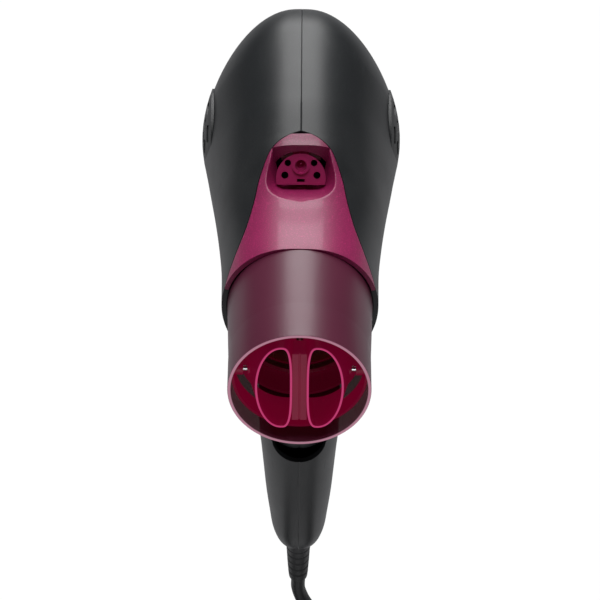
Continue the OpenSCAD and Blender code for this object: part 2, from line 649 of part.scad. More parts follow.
housing_left();
housing_right();
top_panel();
ion_hood();
ion_bezel();
ion_needle();
ion_module();
front_collar();
front_barrel();
nozzle_shell();
pivot_carrier();
outlet_grille();
intake_cover_left();
intake_cover_right();
intake_filter_left();
intake_filter_right();
fan_duct();
motor_can();
motor_bearings();
motor_rotor();
fan_shaft();
impeller();
heater_sleeve();
heater_frame();
heater_coils();
thermostat();
thermal_fuse();
control_board();
body_wires();
hinge_pin();
swing_nozzle();
pivot_pins();
handle_left();
handle_right();
handle_screws();
hinge_washers();
switch_bezel();
switch_block();
switch_board();
button_contact();
handle_wires();
power_slide();
mode_button();
strain_relief();
power_cord();
cord_coil();
cord_tail();
coil_tie();
plug_body();
plug_pins();
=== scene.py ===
"""Finished surfaces, lead and studio for a folding hair dryer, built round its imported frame."""

import math

import bpy
from mathutils import Matrix, Vector


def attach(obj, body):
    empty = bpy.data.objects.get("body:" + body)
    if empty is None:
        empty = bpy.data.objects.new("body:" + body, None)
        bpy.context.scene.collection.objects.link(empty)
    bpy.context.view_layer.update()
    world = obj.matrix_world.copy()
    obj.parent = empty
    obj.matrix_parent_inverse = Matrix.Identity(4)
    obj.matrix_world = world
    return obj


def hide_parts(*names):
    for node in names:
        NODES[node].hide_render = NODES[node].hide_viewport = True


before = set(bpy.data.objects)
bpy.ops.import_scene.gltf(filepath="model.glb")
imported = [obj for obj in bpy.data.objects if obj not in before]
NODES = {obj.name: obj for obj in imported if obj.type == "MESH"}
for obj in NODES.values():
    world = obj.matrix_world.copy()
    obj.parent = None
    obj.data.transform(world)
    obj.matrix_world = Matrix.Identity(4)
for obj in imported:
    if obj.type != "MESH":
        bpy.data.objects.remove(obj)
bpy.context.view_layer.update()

bl_info = {
    "name": "Folding Hair Dryer",
    "version": (1, 0, 0),
    "blender": (4, 5, 0),
    "location": "3D View > Sidebar > Dryer",
    "description": "Shells, nozzle, handle, lead and studio of a folding hair dryer",
    "category": "Add Mesh",
}

MM = 0.001

# ---- Reference frames, in millimetres ----

LEAN = math.radians(17.5)
GRIP_S = 57.0
HINGE_BACK = -97.0
AXIS_UP = 68.0
HANDLE_LEN = 115.0
HINGE = Vector((0, -GRIP_S * math.sin(LEAN), GRIP_S * math.cos(LEAN)))
BARREL = HINGE + Vector((0, -HINGE_BACK, AXIS_UP))
DOWN = Vector((0, math.sin(LEAN), -math.cos(LEAN)))
RELIEF_TIP_S = 158.0
FLOOR_Z = -160.0
STAGE_Z = -0.161

# ---- Housing lines along the barrel: [place, value] ----

HUB_HALF = 46.4
HUB_Y = 12.0
REAR_R = 52.5
REAR_Y = 22.0
REAR_Z = 10.0
REAR_END = REAR_Y + REAR_R
FRONT_Y = -103.0
HOOD_FRONT = -45.0
HOOD_BACK = -39.5
PANEL_END = -38.0
LENS_POWER = 1.6
RIM_POWER = 2.1
WALL = 2.2
CREST_ROUND = 7.0
PANEL_T = 2.0
HALF_LINE = [(-103, 34.8), (-80, 35.3), (-60, 36.9), (-40, 39.2), (-15, 42.8), (12, 46.4), (38, 45.2)]
TOP_LINE = [(-103, 32.4), (-80, 33.2), (-66, 35), (-56, 39), (-48, 44), (-42, 47), (-20, 55),
            (22, 62.5), (58, 57.5)]
BOTTOM_LINE = [(-103, -36), (-80, -36.5), (-50, -39), (-20, -41.5), (22, -42.5), (60, -42)]
MIDDLE_LINE = [(-103, 0), (-40, 1), (12, 4), (75, 10)]
POWER_LINE = [(-103, 2), (-60, 2), (12, 1.8), (75, 1.8)]
PANEL_LINE = [(-103, 33.6), (-92, 29), (-80, 24.5), (-66, 21), (-57, 19), (-50, 16.2),
              (-46, 14), (-43, 11), (-40, 6), (-38, 0)]
SCOOP_END = -71.0
SCOOP_WIDTH = [(-71, 0.5), (-69, 7.5), (-66, 12), (-61, 15), (-56, 15.3), (-50, 13.8), (-45, 12.6)]
SCOOP_FLOOR = [(-71, 33.8), (-66, 32.2), (-60, 29.5), (-52, 26.8), (-45, 25.4)]
ARCH_Z = 28.5
ARCH_R = 13.7

# ---- Handle lines down from the hinge: [distance, value] ----

WIDTH_LINE = [(-20, 18.4), (11, 18.2), (22, 17.6), (42, 16.6), (64, 15.5), (86, 13.9), (98, 12.9),
              (107, 11.3), (112, 9.9), (115, 8.6)]
DEPTH_LINE = [(-20, 19.5), (11, 19.5), (22, 19.3), (42, 18.4), (64, 17), (86, 15.2), (98, 14),
              (107, 12.2), (112, 10.4), (115, 8.8)]
HANDLE_POWER = 2.3
NECK_R = 11.2
KNUCKLE_R = 16.5
SLOT_R = 12.2
CHEEK_R = 19.3
CHEEK_X = 12.2

# ---- Nozzle ----

MOUTH_Y = -160.0
MOUTH_R = 31.0
PIVOT_Y = -145.0
LOBE_BACK = -136.0
LOBE_LEN = 22.5

# ---- Lead, in millimetres: given route, then the coil by its legs, then the tail ----

LEAD_D = 7.0
PLUG_X = 62.0
PLUG_Z = FLOOR_Z + 13
PLUG_BACK_Y = -20.0
PLUG_FACE_Y = -62.0
RELIEF_TIP = HINGE + DOWN * RELIEF_TIP_S
LEAD_ROUTE = [RELIEF_TIP, (0, 32, -101.5), (0, 34, -108), (1, 35.5, -114), (3, 36, -120),
              (6.5, 35.8, -126), (11.5, 35, -131.5), (17.5, 33, -136.5), (23, 29.8, -140.5)]
TAIL_ROUTE = [(34.5, 28.9, -156.5), (41, 21.2, -156.5), (48, 12.9, -156.2), (54, 5, -154.6),
              (59, -3, -151.4), (61.7, -9, -148.2), (62, -13, PLUG_Z), (62, -16.5, PLUG_Z),
              (62, -20, PLUG_Z)]
LAYERS = [FLOOR_Z + LEAD_D * (i + 0.5) for i in range(3)]
TURN_R = [31.0, 38.0, 45.0]


# ---- Curves and shapes ----

def curve(line, v):
    """Smooth value at v on a line of (place, value) points."""
    i = 0
    while i < len(line) - 2 and v > line[i + 1][0]:
        i += 1
    a, b = line[i], line[i + 1]
    w = b[0] - a[0]
    u = max(0.0, min(1.0, (v - a[0]) / w))
    first = (b[1] - a[1]) / w if i == 0 else (b[1] - line[i - 1][1]) / (b[0] - line[i - 1][0])
    last = (b[1] - a[1]) / w
    if i + 2 < len(line):
        last = (line[i + 2][1] - a[1]) / (line[i + 2][0] - a[0])
    value = a[1] * (1 + 2 * u) * (1 - u) ** 2 + b[1] * u * u * (3 - 2 * u)
    return value + w * (first * u * (1 - u) ** 2 - last * u * u * (1 - u))


def arm(c, n):
    """Sine or cosine bent to a superellipse of power n."""
    return math.copysign(abs(c) ** (2 / n), c)


def smoothstep(u):
    u = max(0.0, min(1.0, u))
    return u * u * (3 - 2 * u)


def half_at(y):
    if y < HUB_Y:
        return curve(HALF_LINE, y)
    share = min(1.0, (y - HUB_Y) / (REAR_END - HUB_Y))
    return HUB_HALF * (1 - share ** LENS_POWER) ** (1 / RIM_POWER)


def rim_at(y):
    return math.sqrt(max(0.0, REAR_R ** 2 - (y - REAR_Y) ** 2))


def top_at(y):
    return curve(TOP_LINE, y) if y < REAR_Y else REAR_Z + rim_at(y)


def bottom_at(y):
    return curve(BOTTOM_LINE, y) if y < REAR_Y else REAR_Z - rim_at(y)


def skin(y, phi, t=0.0):
    """Point on the housing at place y and angle phi from the top; t is the depth below it."""
    n, m = curve(POWER_LINE, y), curve(MIDDLE_LINE, y)
    half = max(0.0, half_at(y) - t)
    high = max(0.0, top_at(y) - m - t)
    low = max(0.0, m - bottom_at(y) - t)
    up = math.cos(phi)
    x = half * arm(math.sin(phi), n)
    if half < 1:
        return Vector((x, y, m + (high if up >= 0 else low) * arm(up, n)))
    # The crest and the belly are rounded, so that the superellipse has no crease there
    soft = CREST_ROUND * min(1.0, half / HUB_HALF)
    share = (math.hypot(x, soft) - soft) / (math.hypot(half, soft) - soft)
    rise = max(0.0, 1 - share ** n) ** (1 / n)
    return Vector((x, y, m + (high * rise if up >= 0 else -low * rise)))


def panel_angle(y):
    if y >= PANEL_END:
        return 0.0
    return math.asin((curve(PANEL_LINE, y) / half_at(y)) ** (curve(POWER_LINE, y) / 2))


def panel_skin(y, phi, t=0.0):
    """Point on the panel, with the scoop in front of the ion outlet sunk into it."""
    p, q = skin(y, phi), skin(y, phi, t)
    wide = curve(SCOOP_WIDTH, y)
    w = min(1.0, abs(p.x) / wide) ** 6
    sunk = 0.0 if y <= SCOOP_END else max(0.0, p.z - curve(SCOOP_FLOOR, y)) * (1 - w)
    side = min(1.0, max(0.0, (abs(p.x) - wide - 1) / 6))
    return Vector((p.x + (q.x - p.x) * side, q.y, q.z - sunk))


def grip(s, a, t=0.0):
    """Point on the handle at distance s below the hinge and angle a from the front."""
    return Vector(((curve(WIDTH_LINE, s) - t) * arm(math.sin(a), HANDLE_POWER),
                   -(curve(DEPTH_LINE, s) - t) * arm(math.cos(a), HANDLE_POWER), -s))


def handle_top(a):
    """Upper edge of the handle: a round slot at the front and round cheeks beside it."""
    p = grip(0, a)
    if p.x > CHEEK_X + 0.4:
        return -math.sqrt(max(0.0, CHEEK_R ** 2 - p.y ** 2))
    return math.sqrt(max(0.0, SLOT_R ** 2 - p.x ** 2)) if a < math.pi / 2 else -8.0


def on_barrel(p):
    return (Vector(p) + BARREL) * MM


def on_handle(p):
    return (Matrix.Rotation(LEAN, 3, "X") @ Vector(p) + HINGE) * MM


def spread(low, high, count):
    return [low + (high - low) * i / count for i in range(count + 1)]


# ---- Mesh builders ----

def make_piece(name, points, faces, material, body, replaced=(), sharp=35):
    """A smooth-shaded mesh piece that rides on a body."""
    mesh = bpy.data.meshes.new(name)
    mesh.from_pydata([tuple(p) for p in points], [], faces)
    mesh.validate()
    mesh.shade_smooth()
    mesh.set_sharp_from_angle(angle=math.radians(sharp))
    mesh.materials.append(material)
    piece = bpy.data.objects.new(name, mesh)
    bpy.context.scene.collection.objects.link(piece)
    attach(piece, body)
    if replaced:
        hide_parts(*replaced)
    return piece


def strip(first, second, count, wrap, turned=False):
    """Four-sided faces between two rows of points."""
    faces = []
    for j in range(count if wrap else count - 1):
        k = (j + 1) % count
        face = (first + j, first + k, second + k, second + j)
        faces.append(face[::-1] if turned else face)
    return faces


def thick_mesh(outer, inner, closed=False):
    """Wall between an outer and an inner grid of points; the rows of a tube are closed rings."""
    rows, cols = len(outer), len(outer[0])
    n = rows * cols
    points = [p for row in outer for p in row] + [p for row in inner for p in row]
    faces = []
    for i in range(rows - 1):
        a, b = i * cols, (i + 1) * cols
        faces += strip(a, b, cols, closed) + strip(n + a, n + b, cols, closed, True)
        if not closed:
            faces.append((a, b, n + b, n + a))
            a, b = a + cols - 1, b + cols - 1
            faces.append((n + a, n + b, b, a))
    last = (rows - 1) * cols
    faces += strip(0, n, cols, closed, True) + strip(last, n + last, cols, closed)
    return points, faces


def wall_mesh(row, places, depth, place):
    """Wall whose outer and inner rows are row(y, 0) and row(y, depth)."""
    outer, inner = ([[place(p) for p in row(y, t)] for y in places] for t in (0, depth))
    return thick_mesh(outer, inner)


def solid_mesh(rings, turned=False):
    """Solid through a stack of closed rings, with flat ends."""
    count = len(rings[0])
    points = [p for ring in rings for p in ring]
    faces = []
    for i in range(len(rings) - 1):
        faces += strip(i * count, (i + 1) * count, count, True, turned)
    ends = [tuple(range(count - 1, -1, -1)), tuple(range(len(points) - count, len(points)))]
    return points, faces + ([end[::-1] for end in ends] if turned else ends)


def turned_mesh(outline, place, sides=128):
    """A closed outline of (radius, along) points turned about an axis; place puts a point."""
    rings = []
    for j in range(sides):
        a = 2 * math.pi * j / sides
        rings.append([place(r * math.cos(a), r * math.sin(a), along) for r, along in outline])
    count = len(outline)
    faces = []
    for j in range(sides):
        faces += strip(j * count, ((j + 1) % sides) * count, count, True)
    return [p for ring in rings for p in ring], faces


def rounded_outline(outline, radius, steps=4):
    """An outline whose corners are rounded, each by no more than a third of its sides."""
    out = []
    count = len(outline)
    for i, corner in enumerate(outline):
        corner = Vector(corner)
        before, after = Vector(outline[i - 1]) - corner, Vector(outline[(i + 1) % count]) - corner
        reach = min(radius, before.length / 3, after.length / 3)
        a, b = corner + before.normalized() * reach, corner + after.normalized() * reach
        for k in range(steps + 1):
            u = k / steps
            out.append(tuple(a * (1 - u) ** 2 + corner * 2 * u * (1 - u) + b * u * u))
    return out


def mirrored(points, faces):
    return [Vector((-p.x, p.y, p.z)) for p in points], [f[::-1] for f in faces]


def joined(*meshes):
    points, faces = [], []
    for more_points, more_faces in meshes:
        base = len(points)
        points += more_points
        faces += [tuple(i + base for i in f) for f in more_faces]
    return points, faces


# ---- Shader groups ----

def new_group(name, inputs, outputs):
    group = bpy.data.node_groups.new(name, "ShaderNodeTree")
    for label, kind, value in inputs:
        socket = group.interface.new_socket(name=label, in_out="INPUT", socket_type=kind)
        socket.default_value = value
    for label, kind in outputs:
        group.interface.new_socket(name=label, in_out="OUTPUT", socket_type=kind)
    return group, group.nodes.new("NodeGroupInput"), group.nodes.new("NodeGroupOutput")


def add(tree, kind, **settings):
    node = tree.nodes.new(kind)
    for key, value in settings.items():
        setattr(node, key, value)
    return node


def maths(tree, operation, a, b):
    node = add(tree, "ShaderNodeMath", operation=operation)
    for i, value in enumerate((a, b)):
        if isinstance(value, (int, float)):
            node.inputs[i].default_value = value
        else:
            tree.links.new(value, node.inputs[i])
    return node.outputs[0]


def noise(tree, vector, scale, detail=3.0, roughness=0.55):
    node = add(tree, "ShaderNodeTexNoise")
    tree.links.new(vector, node.inputs["Vector"])
    if isinstance(scale, (int, float)):
        node.inputs["Scale"].default_value = scale
    else:
        tree.links.new(scale, node.inputs["Scale"])
    node.inputs["Detail"].default_value = detail
    node.inputs["Roughness"].default_value = roughness
    return node.outputs["Fac"]


def moulded_grain_group():
    """Spark-eroded mould texture: a height, and a tone that varies slowly over the piece."""
    group, source, sink = new_group(
        "Moulded Grain",
        [("Vector", "NodeSocketVector", (0, 0, 0)), ("Scale", "NodeSocketFloat", 2200.0),
         ("Depth", "NodeSocketFloat", 1.0)],
        [("Height", "NodeSocketFloat"), ("Tone", "NodeSocketFloat")])
    vector = source.outputs["Vector"]
    fine = noise(group, vector, source.outputs["Scale"], 4.0)
    pits = add(group, "ShaderNodeTexVoronoi")
    group.links.new(vector, pits.inputs["Vector"])
    group.links.new(source.outputs["Scale"], pits.inputs["Scale"])
    mixed = maths(group, "ADD", maths(group, "MULTIPLY", fine, 0.7),
                  maths(group, "MULTIPLY", pits.outputs["Distance"], 0.3))
    group.links.new(maths(group, "MULTIPLY", mixed, source.outputs["Depth"]), sink.inputs["Height"])
    group.links.new(noise(group, vector, 38.0, 2.0), sink.inputs["Tone"])
    return group


def handling_group():
    """Marks of use: soft smudges, and fine scratches that run along the piece."""
    group, source, sink = new_group(
        "Handling Marks",
        [("Vector", "NodeSocketVector", (0, 0, 0)), ("Base", "NodeSocketFloat", 0.4),
         ("Amount", "NodeSocketFloat", 0.1)],
        [("Roughness", "NodeSocketFloat"), ("Scratches", "NodeSocketFloat")])
    vector = source.outputs["Vector"]
    smudge = maths(group, "SUBTRACT", noise(group, vector, 55.0, 5.0, 0.6), 0.5)
    lines = add(group, "ShaderNodeMapping")
    lines.inputs["Scale"].default_value = (900, 60, 900)
    group.links.new(vector, lines.inputs["Vector"])
    streak = noise(group, lines.outputs["Vector"], 1.0, 2.0, 0.4)
    ramp = add(group, "ShaderNodeMapRange")
    ramp.inputs["From Min"].default_value = 0.66
    ramp.inputs["From Max"].default_value = 0.74
    group.links.new(streak, ramp.inputs["Value"])
    wear = maths(group, "MULTIPLY", ramp.outputs["Result"], 0.25)
    change = maths(group, "MULTIPLY", maths(group, "ADD", smudge, wear), source.outputs["Amount"])
    group.links.new(maths(group, "ADD", source.outputs["Base"], change), sink.inputs["Roughness"])
    group.links.new(ramp.outputs["Result"], sink.inputs["Scratches"])
    return group


def flake_group():
    """Fine pearl in the plastic: a mask of small bright flakes."""
    group, source, sink = new_group(
        "Pearl Flake",
        [("Vector", "NodeSocketVector", (0, 0, 0)), ("Scale", "NodeSocketFloat", 3500.0)],
        [("Mask", "NodeSocketFloat")])
    cells = add(group, "ShaderNodeTexVoronoi")
    group.links.new(source.outputs["Vector"], cells.inputs["Vector"])
    group.links.new(source.outputs["Scale"], cells.inputs["Scale"])
    bright = add(group, "ShaderNodeSeparateColor")
    group.links.new(cells.outputs["Color"], bright.inputs["Color"])
    group.links.new(maths(group, "GREATER_THAN", bright.outputs["Red"], 0.86), sink.inputs["Mask"])
    return group


def weave_group():
    """Two crossing sets of threads: a height and a tone."""
    group, source, sink = new_group(
        "Weave", [("Vector", "NodeSocketVector", (0, 0, 0)), ("Scale", "NodeSocketFloat", 900.0)],
        [("Height", "NodeSocketFloat"), ("Tone", "NodeSocketFloat")])
    heights = []
    for direction in ("X", "Z"):
        wave = add(group, "ShaderNodeTexWave", bands_direction=direction)
        group.links.new(source.outputs["Vector"], wave.inputs["Vector"])
        group.links.new(source.outputs["Scale"], wave.inputs["Scale"])
        wave.inputs["Distortion"].default_value = 0.6
        heights.append(wave.outputs["Fac"])
    group.links.new(maths(group, "MAXIMUM", *heights), sink.inputs["Height"])
    group.links.new(maths(group, "MULTIPLY", *heights), sink.inputs["Tone"])
    return group


def painted_edge_glow_group():
    """Mask of the surfaces at the very front of a piece, where a painted highlight is put on the
    plastic's edge.
    """
    group, source, sink = new_group(
        "Painted Edge Glow",
        [("Vector", "NodeSocketVector", (0, 0, 0)), ("Place", "NodeSocketFloat", 0.0),
         ("Depth", "NodeSocketFloat", 0.0004)],
        [("Mask", "NodeSocketFloat")])
    split = add(group, "ShaderNodeSeparateXYZ")
    group.links.new(source.outputs["Vector"], split.inputs["Vector"])
    behind = maths(group, "SUBTRACT", split.outputs["Y"], source.outputs["Place"])
    share = maths(group, "DIVIDE", behind, source.outputs["Depth"])
    soft = add(group, "ShaderNodeMapRange", interpolation_type="SMOOTHSTEP")
    soft.inputs["To Min"].default_value = 1.0
    soft.inputs["To Max"].default_value = 0.0
    group.links.new(share, soft.inputs["Value"])
    group.links.new(soft.outputs["Result"], sink.inputs["Mask"])
    return group


GROUPS = {}


def place_group(tree, name, vector, **values):
    """One of the shared groups in a material, with its own values."""
    node = add(tree, "ShaderNodeGroup", node_tree=GROUPS[name])
    tree.links.new(vector, node.inputs["Vector"])
    for key, value in values.items():
        node.inputs[key].default_value = value
    return node


# ---- Materials ----

def start_material(name):
    material = bpy.data.materials.new(name)
    material.use_nodes = True
    tree = material.node_tree
    shader = tree.nodes["Principled BSDF"]
    coordinates = add(tree, "ShaderNodeTexCoord")
    return material, tree, shader, coordinates.outputs["Object"]


def mix_colour(tree, mask, a, b):
    node = add(tree, "ShaderNodeMix", data_type="RGBA")
    tree.links.new(mask, node.inputs["Factor"])
    for label, value in ((6, a), (7, b)):
        if isinstance(value, (tuple, list)):
            node.inputs[label].default_value = (*value[:3], 1)
        else:
            tree.links.new(value, node.inputs[label])
    return node.outputs[2]


def bump(tree, height, shader, strength, distance):
    node = add(tree, "ShaderNodeBump")
    node.inputs["Strength"].default_value = strength
    node.inputs["Distance"].default_value = distance
    tree.links.new(height, node.inputs["Height"])
    tree.links.new(node.outputs["Normal"], shader.inputs["Normal"])


def shade(colour, factor):
    return tuple(min(1.0, c * factor) for c in colour[:3])


def plastic(name, colour, rough, grain=2200.0, depth=0.12, coat=0.0, flake=0.0, painted_glow=None, marks=0.12,
            edge=None):
    """Moulded plastic with mould grain, smudges and, where asked, pearl, a clear coat, a painted glow
    and a painted highlight on its front edges.
    """
    material, tree, shader, vector = start_material(name)
    texture = place_group(tree, "Moulded Grain", vector, Scale=grain, Depth=1.0)
    handled = place_group(tree, "Handling Marks", vector, Base=rough, Amount=marks)
    tone = mix_colour(tree, texture.outputs["Tone"], shade(colour, 0.82), shade(colour, 1.18))
    tone = mix_colour(tree, handled.outputs["Scratches"], tone, shade(colour, 1.35))
    if flake:
        pearl = place_group(tree, "Pearl Flake", vector, Scale=3500.0)
        mask = maths(tree, "MULTIPLY", pearl.outputs["Mask"], flake)
        tone = mix_colour(tree, mask, tone, shade(colour, 3.0))
    tree.links.new(tone, shader.inputs["Base Color"])
    tree.links.new(handled.outputs["Roughness"], shader.inputs["Roughness"])
    # Painted glow: emission that makes the piece look lit, with a painted highlight on its front edges
    # where asked
    if painted_glow:
        light = mix_colour(tree, texture.outputs["Tone"], shade(painted_glow, 0.8), shade(painted_glow, 1.2))
        if edge:
            place, painted_edge_glow = edge
            front = place_group(tree, "Painted Edge Glow", vector, Place=place * MM, Depth=0.0005)
            light = mix_colour(tree, front.outputs["Mask"], light, painted_edge_glow)
        tree.links.new(light, shader.inputs["Emission Color"])
        shader.inputs["Emission Strength"].default_value = 1.0
    shader.inputs["Coat Weight"].default_value = coat
    shader.inputs["Coat Roughness"].default_value = 0.08
    bump(tree, texture.outputs["Height"], shader, depth, 0.00012)
    return material


def metal(name, colour, rough, stretch=(40, 3000, 40), depth=0.1):
    """Metal with a fine brushed lay."""
    material, tree, shader, vector = start_material(name)
    lay = add(tree, "ShaderNodeMapping")
    lay.inputs["Scale"].default_value = stretch
    tree.links.new(vector, lay.inputs["Vector"])
    brushed = noise(tree, lay.outputs["Vector"], 1.0, 4.0)
    handled = place_group(tree, "Handling Marks", vector, Base=rough, Amount=0.15)
    tree.links.new(mix_colour(tree, brushed, shade(colour, 0.85), shade(colour, 1.1)),
                   shader.inputs["Base Color"])
    tree.links.new(handled.outputs["Roughness"], shader.inputs["Roughness"])
    shader.inputs["Metallic"].default_value = 1.0
    bump(tree, brushed, shader, depth, 0.00005)
    return material


def woven(name, colour, scale, rough=0.9):
    material, tree, shader, vector = start_material(name)
    cloth = place_group(tree, "Weave", vector, Scale=scale)
    tree.links.new(mix_colour(tree, cloth.outputs["Tone"], shade(colour, 0.5), shade(colour, 1.7)),
                   shader.inputs["Base Color"])
    shader.inputs["Roughness"].default_value = rough
    shader.inputs["Sheen Weight"].default_value = 0.3
    bump(tree, cloth.outputs["Height"], shader, 0.6, 0.0003)
    return material


def smoke_glass(name, colour, clear, edge):
    """Clear tinted plastic: its tint thickens where the wall is seen edge on, and its front lip carries
    a painted highlight.
    """
    material, tree, shader, vector = start_material(name)
    handled = place_group(tree, "Handling Marks", vector, Base=0.4, Amount=0.06)
    texture = place_group(tree, "Moulded Grain", vector, Scale=700.0, Depth=1.0)
    facing = add(tree, "ShaderNodeLayerWeight")
    facing.inputs["Blend"].default_value = 0.32
    tree.links.new(mix_colour(tree, texture.outputs["Tone"], shade(colour, 0.9), shade(colour, 1.1)),
                   shader.inputs["Base Color"])
    tree.links.new(handled.outputs["Roughness"], shader.inputs["Roughness"])
    solid = add(tree, "ShaderNodeMapRange")
    solid.inputs["To Min"].default_value = 1 - clear
    solid.inputs["To Max"].default_value = 0.9
    tree.links.new(facing.outputs["Facing"], solid.inputs["Value"])
    # Painted highlight: the front lip is made opaque and emits light
    place, painted_edge_glow = edge
    front = place_group(tree, "Painted Edge Glow", vector, Place=place * MM, Depth=0.00028)
    tree.links.new(maths(tree, "MAXIMUM", solid.outputs["Result"], front.outputs["Mask"]),
                   shader.inputs["Alpha"])
    tree.links.new(mix_colour(tree, front.outputs["Mask"], (0, 0, 0), painted_edge_glow),
                   shader.inputs["Emission Color"])
    shader.inputs["Emission Strength"].default_value = 1.0
    shader.inputs["Coat Weight"].default_value = 0.1
    shader.inputs["Coat Roughness"].default_value = 0.2
    bump(tree, texture.outputs["Height"], shader, 0.03, 0.0001)
    return material


MATERIALS = {}


def make_materials(colours):
    GROUPS["Moulded Grain"] = moulded_grain_group()
    GROUPS["Handling Marks"] = handling_group()
    GROUPS["Pearl Flake"] = flake_group()
    GROUPS["Weave"] = weave_group()
    GROUPS["Painted Edge Glow"] = painted_edge_glow_group()
    body, panel, inner = tuple(colours.body), tuple(colours.panel), tuple(colours.inner)
    MATERIALS.update({
        "housing": plastic("Housing satin black", body, 0.43, depth=0.10, flake=0.2),
        "handle": plastic("Handle satin black", shade(body, 0.8), 0.38, depth=0.14, flake=0.2),
        "cover": plastic("Cover matt black", shade(body, 0.75), 0.5, 1600.0, 0.3),
        "panel": plastic("Panel clear-coated magenta", panel, 0.45, depth=0.05, coat=0.15, flake=0.3,
                         marks=0.06),
        "hood": plastic("Hood magenta", shade(panel, 0.75), 0.36, depth=0.05, coat=0.15, flake=0.3),
        # Painted light: the ion plate is a lighter copy of the panel colour and emits a dim share of
        # the painted glow, so it reads lit inside its recess
        "bezel": plastic("Ion plate magenta with painted glow", shade(panel, 1.1), 0.3, coat=0.3,
                         painted_glow=shade(tuple(colours.inner_painted_glow), 0.25)),
        # Painted glow: the inner nozzle emits light, with a painted highlight on its front edges
        "inner": plastic("Inner nozzle magenta with painted glow", inner, 0.45, depth=0.04, coat=0.05,
                         painted_glow=tuple(colours.inner_painted_glow), marks=0.06,
                         edge=(LOBE_BACK - LOBE_LEN + BARREL.y, tuple(colours.inner_painted_edge))),
        # Painted glow: the barrel emits a share of the inner nozzle's painted glow
        "barrel": plastic("Barrel magenta with painted glow", shade(inner, 0.8), 0.35, depth=0.08,
                          painted_glow=shade(tuple(colours.inner_painted_glow), 0.35)),
        # Painted highlight: the shell's front lip emits light
        "smoke": smoke_glass("Nozzle shell smoke with painted lip highlight", tuple(colours.smoke), 0.14,
                             (MOUTH_Y + BARREL.y, tuple(colours.lip))),
        "switch": plastic("Switch black", shade(body, 0.9), 0.45, 1400.0, 0.3),
        "button": plastic("Mode button magenta", panel, 0.25, coat=0.5),
        "rubber": plastic("Lead jacket", (0.018, 0.0185, 0.02), 0.5, 1500.0, 0.25, marks=0.2),
        "duct": plastic("Duct black plastic", (0.02, 0.02, 0.021), 0.55, 1300.0, 0.2),
        "mica": plastic("Mica", (0.55, 0.45, 0.25), 0.5, 500.0, 0.5),
        "resin": plastic("Potting resin", (0.7, 0.67, 0.58), 0.4),
        "board": plastic("Circuit board", (0.012, 0.09, 0.035), 0.4, 800.0, 0.3),
        "red_wire": plastic("Red insulation", (0.32, 0.015, 0.01), 0.4),
        "blue_wire": plastic("Blue insulation", (0.006, 0.014, 0.045), 0.4),
        "case": plastic("Switch case", (0.08, 0.085, 0.09), 0.5),
        "chrome": metal("Polished pin steel", (0.78, 0.79, 0.8), 0.16),
        "steel": metal("Plated can", (0.55, 0.56, 0.58), 0.32),
        "grille": metal("Grille plate", (0.85, 0.78, 0.76), 0.3),
        "bronze": metal("Sintered bronze", (0.5, 0.32, 0.14), 0.45),
        "copper": metal("Enamelled copper", (0.5, 0.19, 0.07), 0.35, (40, 40, 2500)),
        "wire": metal("Resistance wire", (0.4, 0.37, 0.34), 0.4),
        "brass": metal("Plated plug pin", (0.72, 0.66, 0.5), 0.22),
        "filter": woven("Dust filter", (0.05, 0.052, 0.055), 1200.0),
        "tie": woven("Woven tie", (0.012, 0.012, 0.013), 900.0),
    })


CAD_LOOKS = {
    "cover": ["front_collar", "intake_cover_left", "intake_cover_right", "impeller"],
    "bezel": ["ion_bezel"],
    "barrel": ["front_barrel"],
    "inner": ["pivot_carrier"],
    "grille": ["outlet_grille"],
    "filter": ["intake_filter_left", "intake_filter_right"],
    "duct": ["fan_duct"],
    "steel": ["motor_can", "thermostat"],
    "bronze": ["motor_bearings"],
    "copper": ["motor_rotor"],
    "chrome": ["fan_shaft", "ion_needle", "hinge_pin", "pivot_pins", "handle_screws", "hinge_washers"],
    "mica": ["heater_sleeve", "heater_frame"],
    "wire": ["heater_coils"],
    "resin": ["ion_module", "thermal_fuse"],
    "board": ["control_board", "switch_board"],
    "red_wire": ["body_wires"],
    "blue_wire": ["handle_wires"],
    "case": ["switch_block", "button_contact"],
    "switch": ["switch_bezel", "power_slide"],
    "button": ["mode_button"],
    "brass": ["plug_pins"],
}


# ---- Lead ----

def smooth_route(route, parts):
    """Extra points on a smooth line through given points."""
    route = [Vector(p) for p in route]
    out = []
    for i in range(len(route) - 1):
        a, b, c = route[max(0, i - 1)], route[i], route[i + 1]
        d = route[min(len(route) - 1, i + 2)]
        for k in range(parts):
            u = k / parts
            out.append(b + 0.5 * u * ((c - a) + u * (2 * a - 5 * b + 4 * c - d
                                                    + u * (3 * (b - c) + d - a))))
    return out + [route[-1]]


